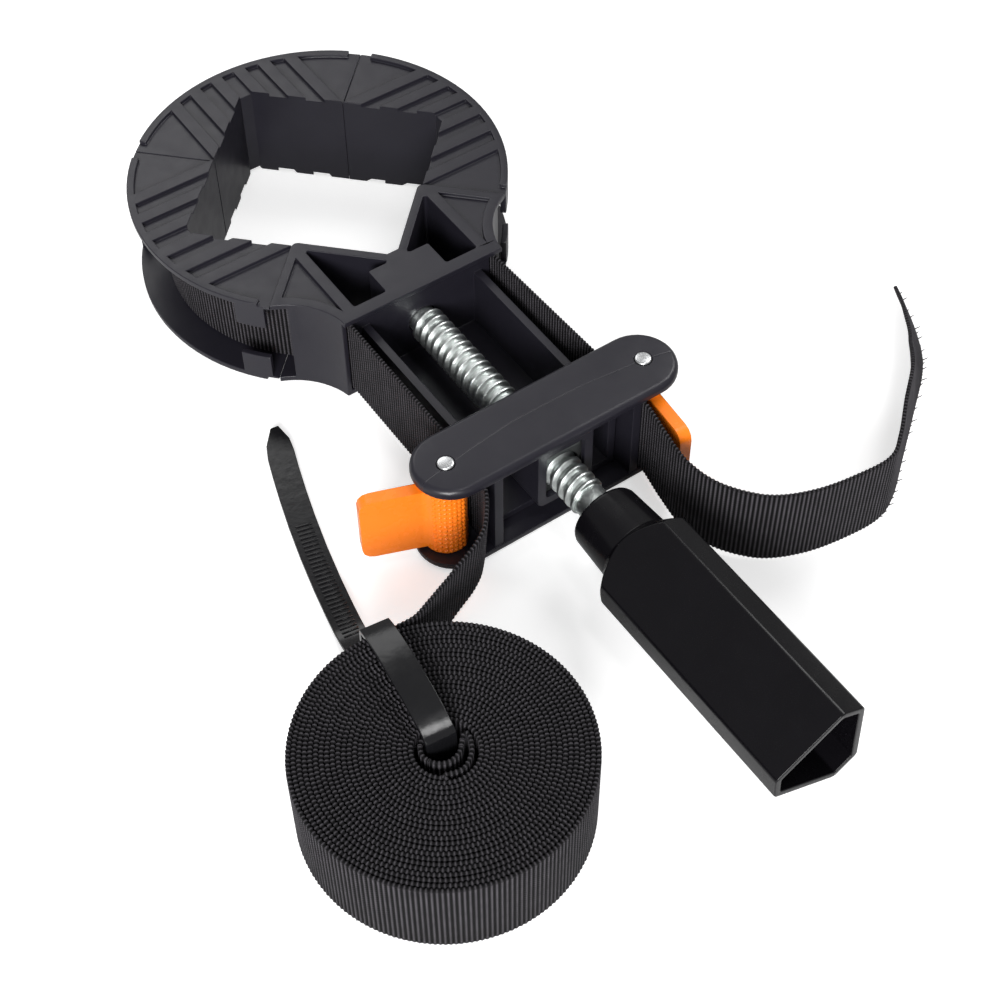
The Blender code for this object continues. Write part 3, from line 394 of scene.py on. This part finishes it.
# Handle. A smoother, darker moulding: round neck, shoulder and hollow six-sided grip.
handle_plastic = plastic("handle_plastic", (0.0030, 0.0027, 0.0036), (0.0044, 0.0040, 0.0052), 0.26, 0.000002, 0.22)
handle = moulded("handle", "handle_grip", handle_plastic, 0.0003)
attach(handle, "spindle")

# Cam levers. Semi-gloss orange plastic; blunt teeth cover the quarter of each cam that bites the strap. The left
# lever stands open and the right one is locked.
orange = plastic("orange_plastic", (0.98, 0.21, 0.011), (1.0, 0.24, 0.014), 0.27, 0.000006, 0.5)
lever_edge, lever_weld = 0.0004, 0.00025
cam_grip, cam_rise, cam_flush, cam_low, cam_high = 0.00555, 0.000009, 89.0, 0.0030, 0.0272
tooth_rows, tooth_wide, tooth_high, tooth_proud, tooth_edge = 15, 0.00118, 0.0006, 0.00036, 0.00012
tooth_first, tooth_last, tooth_step = 45, 136, 13     # degrees round the cam


def repeated(name, small, stands):
    """One piece made of a small mesh, copied once for each stand."""
    shape = bmesh.new()
    for stand in stands:
        copy = small.copy()
        copy.transform(stand)
        shape.from_mesh(copy)
        bpy.data.meshes.remove(copy)
    piece = bpy.data.objects.new(name, bpy.data.meshes.new(name))
    bpy.context.scene.collection.objects.link(piece)
    shape.to_mesh(piece.data)
    shape.free()
    piece.data.shade_smooth()
    return piece


bpy.ops.mesh.primitive_cone_add(vertices=4, radius1=tooth_wide * 0.707, radius2=tooth_wide * 0.38,
                                depth=tooth_high, rotation=(0.0, 0.0, math.radians(45)))
tooth = bpy.context.object
bpy.ops.object.transform_apply(location=True, rotation=True, scale=True)
blunt = tooth.modifiers.new("blunt", "BEVEL")
blunt.width, blunt.segments = tooth_edge, 2
bpy.ops.object.modifier_apply(modifier="blunt")
tooth_mesh = tooth.data
bpy.data.objects.remove(tooth)
tooth_spots = []
for degrees in range(tooth_first, tooth_last, tooth_step):
    way = Vector((math.cos(math.radians(degrees)), -math.sin(math.radians(degrees)), 0.0))
    tooth_spots.append((way * (cam_grip + cam_rise * (cam_flush - degrees)), way))
for side, turn, name in ((-1, -20.0, "left"), (1, -95.0, "right")):
    lever = moulded("lever_" + name, "cam_lever_" + name, orange, lever_edge, weld=lever_weld, clamp=True)
    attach(lever, "lever_" + name)
    spread = Matrix.Rotation(math.radians(turn), 4, "Z") @ Matrix.Diagonal((side, 1.0, 1.0, 1.0))
    stands = []
    for row in range(tooth_rows):
        height = cam_low + (cam_high - cam_low) * (row + 0.5) / tooth_rows
        for spot, way in tooth_spots:
            out = spread.to_3x3() @ way
            foot = (spread @ spot + Vector((side * pin_out, pin_line, height))
                    + out * (tooth_proud - tooth_high / 2))
            stands.append(Matrix.Translation(foot) @ out.to_track_quat("Z", "Y").to_matrix().to_4x4())
    teeth = repeated("cam_teeth_" + name, tooth_mesh, stands)
    teeth.data.set_sharp_from_angle(angle=math.radians(35))
    teeth.data.materials.append(orange)
    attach(teeth, "lever_" + name)

# Webbing. Ribbed across, with a bead at each rib's end. It runs round the corner blocks in four lengths that
# meet behind them.
strap_wide, strap_thick, rib, rib_deep = 0.0244, 0.0011, 0.0011, 0.00026
lip_deep, bead_half, bead_deep, bead_wide, bead_end = 0.00025, 0.00042, 0.00014, 0.00016, 0.0006
coarse_foot, coarse_end, coarse_bead = 0.00035, 0.00042, 0.00014


def smooth_path(points, steps):
    """Points along a smooth curve through the given ones."""
    knots = [Vector(p) for p in points]
    knots = [2 * knots[0] - knots[1], *knots, 2 * knots[-1] - knots[-2]]
    path = []
    for a, b, c, d in zip(knots, knots[1:], knots[2:], knots[3:]):
        for k in range(steps):
            t = k / steps
            path.append(0.5 * (2 * b + (c - a) * t + (2 * a - 5 * b + 4 * c - d) * t * t
                               + (3 * b - a - 3 * c + d) * t * t * t))
    return [*path, knots[-2]]


def weave(name, feet, heads, close_up=True):
    """A length of webbing between its foot and head edges, four rows of points to each rib.

    Without close_up it has fewer points across and no bead at its foot. Its UV map counts ribs, both ways.
    """
    middles = [(foot + head) / 2 for foot, head in zip(feet, heads)]
    far = [0.0]
    for here, there in zip(middles, middles[1:]):
        far.append(far[-1] + (there - here).length)
    rows = max(4, 4 * round(far[-1] / rib))
    edges, spot = [], 0
    for i in range(rows + 1):
        along = far[-1] * i / rows
        while spot < len(far) - 2 and far[spot + 1] < along:
            spot += 1
        t = (along - far[spot]) / (far[spot + 1] - far[spot])
        edges.append((feet[spot].lerp(feet[spot + 1], t), heads[spot].lerp(heads[spot + 1], t)))
    points, across_at = [], []
    for i, (foot, head) in enumerate(edges):
        before, after = edges[max(i - 1, 0)], edges[min(i + 1, rows)]
        along = (after[0] + after[1] - before[0] - before[1]).normalized()
        across = (head - foot).normalized()
        out = across.cross(along).normalized()
        sunk = (0.0, 0.5, 1.0, 0.5)[i % 4]
        lip, bead, face = lip_deep * sunk, bead_half - bead_deep * sunk, strap_thick / 2 - rib_deep * sunk
        wide = (head - foot).length
        if close_up:
            half = [(lip, 0.0), (lip + bead_wide, bead), (bead_end, face), (wide / 2, face),
                    (wide - bead_end, face), (wide - lip - bead_wide, bead), (wide - lip, 0.0)]
        else:
            half = [(0.0, 0.0), (coarse_foot, face), (wide - coarse_end, face), (wide - lip - coarse_bead, bead),
                    (wide - lip, 0.0)]
        ring = half + [(w, -n) for w, n in reversed(half[1:-1])]
        points += [foot + across * w + out * n for w, n in ring]
        across_at.append([w for w, n in ring])
    size = len(across_at[0])
    faces, spots = [], []
    for i in range(rows):
        for j in range(size):
            k = (j + 1) % size
            faces.append((i * size + j, i * size + k, (i + 1) * size + k, (i + 1) * size + j))
            spots += [(i / 4, across_at[i][j] / rib), (i / 4, across_at[i][k] / rib),
                      ((i + 1) / 4, across_at[i + 1][k] / rib), ((i + 1) / 4, across_at[i + 1][j] / rib)]
    for i, order in ((0, range(size - 1, -1, -1)), (rows, range(size))):
        faces.append(tuple(i * size + j for j in order))
        spots += [(i / 4, across_at[i][j] / rib) for j in order]
    mesh = bpy.data.meshes.new(name)
    mesh.from_pydata(points, [], faces)
    layer = mesh.uv_layers.new(name="weave")
    layer.data.foreach_set("uv", [value for spot in spots for value in spot])
    mesh.shade_smooth()
    mesh.set_sharp_from_angle(angle=math.radians(80))
    mesh.materials.append(webbing.material)
    piece = bpy.data.objects.new(name, mesh)
    bpy.context.scene.collection.objects.link(piece)
    return piece, far[-1]


webbing = Finish("webbing", (0.008, 0.008, 0.009), 0.8, Specular_IOR_Level=0.15)
in_ribs = webbing.node("ShaderNodeUVMap", {"uv_map": "weave"})
woven_along = webbing.node("ShaderNodeSeparateXYZ", None, in_ribs, out="X")
woven_across = webbing.node("ShaderNodeSeparateXYZ", None, in_ribs, out="Y")
# Painted light on the ribs: each rib's crest is painted lighter, a painted highlight, and the valley between ribs is
# painted darker, a painted shade.
rib_painted_light_and_shade = ((woven_along * math.tau).maths("COSINE") * 0.5 + 0.5).maths("POWER", 2.2)
fold = (woven_along.maths("FRACT") - 0.5).maths("ABSOLUTE")
stitch = ((woven_across * 1.3 + fold) * math.tau).maths("SINE") * 0.5 + 0.5
# The strap's top edge is painted about a third darker, a painted shade on the edge that faces up.
top_edge_painted_shade = 1.0 - woven_across.maths("GREATER_THAN", (strap_wide - bead_end) / rib) * 0.36
# The base colour is the weave's own stitch pattern times this painted highlight and painted shade.
weave_and_painted_light = rib_painted_light_and_shade * (0.65 + stitch * 0.35) * top_edge_painted_shade
webbing.put("Base Color", webbing.mix(weave_and_painted_light * (webbing.noise(0.003, 4.0) + 0.5),
                                      (0.0012, 0.0011, 0.0015), (0.080, 0.075, 0.084)))
webbing.bump(stitch * 0.6 + webbing.noise(0.0003, 2.0) * 0.5, 0.00012)

ring_strap, ring_low = 0.04255, 0.0019
exit_out, exit_line, exit_bend = 0.02165, -0.0015, 0.007
up = Vector((0.0, 0.0, strap_wide))


def ring_spot(degrees):
    """A point of the ring strap's middle line, seen from above."""
    turn = math.radians(degrees)
    return ring_centre + Vector((math.cos(turn), math.sin(turn), 0.0)) * ring_strap


def passage(side):
    """Middle line of the strap through one side of the head, from its rear wall to the seam."""
    start = ring_centre + Vector((side, -1.0, 0.0)).normalized() * ring_strap
    leave = start + Vector((-side, -1.0, 0.0)).normalized() * exit_bend
    end = Vector((side * exit_out, exit_line, 0.0))
    before = end + Vector((0.0, exit_bend, 0.0))
    path = []
    for k in range(13):
        t = k / 12
        path.append(end * (1 - t) ** 3 + 3 * before * t * (1 - t) ** 2 + 3 * leave * t * t * (1 - t) + start * t ** 3)
    return path


# Each length: name, middle line, the bodies at its two ends, degrees of the joint between them, nodes.
ring_lengths = [
    ("webbing_ring_left", [*passage(-1), *(ring_spot(d) for d in range(222, 178, -3))], "frame", "jaw_left", 225,
     ("strap_head_left", "strap_jaw_left")),
    ("webbing_ring_far_left", [ring_spot(d) for d in range(180, 88, -3)], "jaw_left", "jaw_far", 135,
     ("strap_jaw_left", "strap_jaw_far")),
    ("webbing_ring_far_right", [ring_spot(d) for d in range(0, 92, 3)], "jaw_right", "jaw_far", 45,
     ("strap_jaw_right", "strap_jaw_far")),
    ("webbing_ring_right", [*passage(1), *(ring_spot(d) for d in range(-42, 2, 3))], "frame", "strap_right", -45,
     ("strap_head_right", "strap_jaw_right")),
]
for name, plan, first, second, seam, nodes in ring_lengths:
    lift = Vector((0.0, 0.0, ring_low))
    piece, length = weave(name, [spot + lift for spot in plan], [spot + lift + up for spot in plan])
    turn = math.radians(seam)
    onwards = Vector((-math.sin(turn), math.cos(turn), 0.0))
    if (plan[-1] - plan[0]).dot(onwards) < 0:
        onwards.negate()
    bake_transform(piece)
    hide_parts(*nodes)

# Webbing between the head and the carriage.
run_out, run_end, run_steps, grip_low = 0.02235, -0.04625, 8, 0.0029
for side, name in ((-1, "left"), (1, "right")):
    run_from = Vector((side * exit_out, exit_line, ring_low))
    run_to = Vector((side * run_out, run_end, grip_low))
    plan = [run_from.lerp(run_to, k / run_steps) for k in range(run_steps + 1)]
    piece, length = weave("webbing_run_" + name, plan, [spot + up for spot in plan])
    tuple(plan[0] + up / 2)
    tuple(plan[-1] + up / 2)
    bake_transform(piece)
    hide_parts("strap_run_" + name)

# Webbing that leads from the open left cam to the roll on its edge, its top leaning away from the ring. Its first
# three lengths of 14 are under the cam; past them it comes down to the table. Each knot: x, y in millimetres.
lead_plan = [(-22.35, -46.55), (-22.35, -50.5), (-22.35, -54.5), (-22.35, -58.5), (-23.0, -62.0), (-24.8, -65.2),
             (-27.3, -68.2), (-30.2, -71.1), (-33.6, -73.1), (-37.7, -74.6), (-41.0, -75.8), (-46.0, -78.2),
             (-51.0, -80.9), (-56.1, -83.6), (-61.33, -84.45)]
lead_lean, lead_held, lead_low, lead_sinks, lead_sunk = math.radians(8), 3 / 14, 0.0002, 0.4, 0.7
lead = smooth_path([Vector((x, y, 0.0)) / 1000 for x, y in lead_plan], 6)
lead_feet, lead_heads = [], []
for i, spot in enumerate(lead):
    share = max(0.0, i / (len(lead) - 1) - lead_held) / (1 - lead_held)
    lean = lead_lean * math.sin(math.pi * share)
    lifted = max(0.0, min(1.0, (lead_sunk - share) / (lead_sunk - lead_sinks)))
    foot = spot + Vector((0.0, 0.0, lead_low + (grip_low - lead_low) * lifted))
    lead_feet.append(foot)
    lead_heads.append(foot + Vector((0.0, -math.sin(lean) * strap_wide, math.cos(lean) * strap_wide)))
piece, length = weave("webbing_lead", lead_feet, lead_heads)
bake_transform(piece)
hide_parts("strap_grip_left", "strap_lead")

# Free end of the webbing, from under the right cam: it stands on the table on its edge, leans at the end, and is
# cut there at a long slant. Its first three lengths of 16 are under the cam. Each knot: x, y in millimetres,
# lean in degrees, share of the width.
tail_plan = [(22.35, -46.55, 0, 1), (22.35, -53.0, 0, 1), (22.35, -60.0, 0, 1), (22.35, -66.75, 0, 1),
             (20.9, -76.0, 0, 1), (20.2, -85.5, 0, 1), (22.9, -94.6, 0, 1), (30.2, -103.2, 0, 1),
             (40.0, -108.0, 0, 1), (51.5, -110.2, 0, 1), (61.5, -110.4, 0, 1), (69.0, -107.2, 3, 1),
             (78.0, -100.4, 5, 1), (91.0, -90.4, 8, 0.9), (104.0, -80.0, 22, 0.56), (111.2, -69.6, 25, 0.44),
             (118.4, -54.0, 22, 0.06)]
tail_held, tail_low, tail_sunk = 3 / 16, 0.0003, 0.3
tail = smooth_path(tail_plan, 8)
tail_feet, tail_heads = [], []
for i, knot in enumerate(tail):
    share = max(0.0, i / (len(tail) - 1) - tail_held) / (1 - tail_held)
    along = (tail[min(i + 1, len(tail) - 1)] - tail[max(i - 1, 0)]).to_2d().normalized()
    lean, wide = math.radians(knot[2]), strap_wide * min(1.0, knot[3])
    low = tail_low + (grip_low - tail_low) * max(0.0, 1 - share / tail_sunk) + strap_thick / 2 * math.sin(lean)
    foot = Vector((knot[0] / 1000, knot[1] / 1000, low))
    tail_feet.append(foot)
    tail_heads.append(foot + Vector((-along.y * math.sin(lean), along.x * math.sin(lean), math.cos(lean))) * wide)
piece, length = weave("webbing_tail", tail_feet, tail_heads)
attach(piece, "carriage")
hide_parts("strap_grip_right", "strap_tail")

# Loose threads. Short tapered fibres that stand off the free end's lower edge, where it is cut; their lengths and
# directions vary by fixed fractions.
fibre_thick, fibre_long, fibre_middle, fibre_count = 0.00017, 0.0023, 0.0009, 34
fibre_first, fibre_last = 81, 127     # points of the free end
bpy.ops.mesh.primitive_cone_add(vertices=6, radius1=fibre_thick, radius2=fibre_thick / 2, depth=fibre_long,
                                location=(0.0, 0.0, fibre_middle))
fibre = bpy.context.object
bpy.ops.object.transform_apply(location=True, rotation=True, scale=True)
fibre_mesh = fibre.data
bpy.data.objects.remove(fibre)
stands = []
for k in range(fibre_count):
    spot = tail_feet[fibre_first + round((fibre_last - fibre_first) * k / (fibre_count - 1))]
    drift, swing = (k * 0.618) % 1.0, (k * 0.382) % 1.0
    way = Vector((0.7 + 0.4 * drift, -0.8 + 1.1 * swing, 0.35 + 0.5 * drift)).normalized()
    stands.append(Matrix.Translation(spot) @ way.to_track_quat("Z", "Y").to_matrix().to_4x4()
                  @ Matrix.Diagonal((1.0, 1.0, 0.4 + 0.6 * drift, 1.0)))
threads = repeated("tail_threads", fibre_mesh, stands)
thread_finish = Finish("loose_thread", (0.006, 0.006, 0.007), 0.8, Specular_IOR_Level=0.15)
thread_finish.put("Roughness", 0.7 + thread_finish.noise(0.001, 2.0) * 0.2)
threads.data.materials.append(thread_finish.material)
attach(threads, "carriage")

# Roll of spare webbing. It winds inwards for 22 turns, ends in a hairpin round the tie, and stands on its edge
# with its feet pressed up where the tie passes under them. The hairpin's knots are in millimetres from the roll's
# centre, along the picture's axes.
roll_centre, roll_start, roll_reach, roll_core = Vector((-0.0694, -0.1166, 0.0)), 76.0, 0.0334, 0.0069
turn_space, turn_steps, tie_angle = 0.00118, 72, 83.0
dent_deep, dent_half = 0.008, 14.0     # share of the radius, and degrees
press_high, press_half, press_from, roll_low = 0.0019, 0.0043, -0.001, 0.0001
turns = (roll_reach - roll_core) / turn_space
spiral = []
steps = round(turns * turn_steps)
for k in range(steps + 1):
    degrees = roll_start + 360 * turns * k / steps
    off = (degrees - tie_angle + 180) % 360 - 180
    radius = (roll_reach - turn_space * turns * k / steps) * (1 - dent_deep * math.exp(-(off / dent_half) ** 2))
    way = Vector((math.cos(math.radians(degrees)), math.sin(math.radians(degrees)), 0.0))
    spiral.append(roll_centre + way * radius)
hairpin = [(-0.2, -6.3), (3.9, -4.7), (5.6, -1.2), (5.6, 1.6), (5.2, 3.3), (4.5, 4.0), (3.85, 3.4), (3.6, 1.6),
           (3.0, -0.9), (0.9, -3.0), (-1.9, -3.3), (-4.4, -1.9), (-5.2, 0.3), (-4.9, 2.4), (-4.0, 3.9)]
picture_axes = Matrix.Rotation(math.radians(camera_turn), 4, "Z")
core = [roll_centre + picture_axes @ Vector((x, y, 0.0)) / 1000 for x, y in hairpin]
roll_path = [*spiral[:-1], *smooth_path([spiral[-1], *core], 10)]
tie_way = Vector((math.cos(math.radians(tie_angle)), math.sin(math.radians(tie_angle)), 0.0))
roll_feet, roll_heads = [], []
for spot in roll_path:
    from_centre = spot - roll_centre
    over_tie = from_centre.dot(tie_way) > press_from and abs(from_centre.cross(tie_way).z) < press_half
    roll_feet.append(spot + Vector((0.0, 0.0, roll_low + (press_high if over_tie else 0.0))))
    roll_heads.append(spot + up)
piece, length = weave("webbing_roll", roll_feet, roll_heads, close_up=False)
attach(piece, "frame")
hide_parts("strap_roll")

# Cable tie. Glossy black nylon round the roll, with its lock at the rim and its free end flat on the table.
tie_nylon = Finish("tie_nylon", (0.006, 0.006, 0.007), 0.2, Specular_IOR_Level=0.4)
tie_nylon.put("Roughness", 0.13 + tie_nylon.noise(0.002, 3.0) * 0.12)
tie_nylon.bump(tie_nylon.noise(0.0025, 2.0), 0.00004)
tie = moulded("cable_tie", "tie_band", tie_nylon.material, 0.0002)
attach(tie, "frame")

# Ladder of the tie. Ribs across the flat of its free end, from near the lock on; the first few stand higher, where
# the tie comes down to the table.
lock_end, tie_tail, tie_sway, tie_top = 0.0399, 0.078, 0.0095, 0.0016
rung_pitch, rung_wide, rung_deep, rung_high, rung_edge, rung_count = 0.0013, 0.0043, 0.00055, 0.0005, 0.00013, 28
rung_first, rise_high, rise_from, rise_end = 0.0102, 0.0004, 0.0100, 0.0145
bpy.ops.mesh.primitive_cube_add(size=1.0)
rung = bpy.context.object
rung.scale = (rung_deep, rung_wide, rung_high)
bpy.ops.object.transform_apply(location=True, rotation=True, scale=True)
soft = rung.modifiers.new("soft", "BEVEL")
soft.width, soft.segments = rung_edge, 2
bpy.ops.object.modifier_apply(modifier="soft")
rung_mesh = rung.data
bpy.data.objects.remove(rung)
tie_axes = Matrix.Translation(roll_centre) @ Matrix.Rotation(math.radians(tie_angle), 4, "Z")
stands = []
for k in range(rung_count):
    along = rung_first + rung_pitch * k
    rise = rise_high * max(0.0, (rise_end - along) / (rise_end - rise_from)) ** 2
    sway = -tie_sway * (along / tie_tail) ** 2
    slope = math.atan2(-2 * tie_sway * along / tie_tail ** 2, 1.0)
    stands.append(tie_axes @ Matrix.Translation((lock_end + along, sway, tie_top + rise))
                  @ Matrix.Rotation(slope, 4, "Z"))
ladder = repeated("tie_ladder", rung_mesh, stands)
ladder.data.set_sharp_from_angle(angle=math.radians(40))
ladder.data.materials.append(tie_nylon.material)
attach(ladder, "frame")
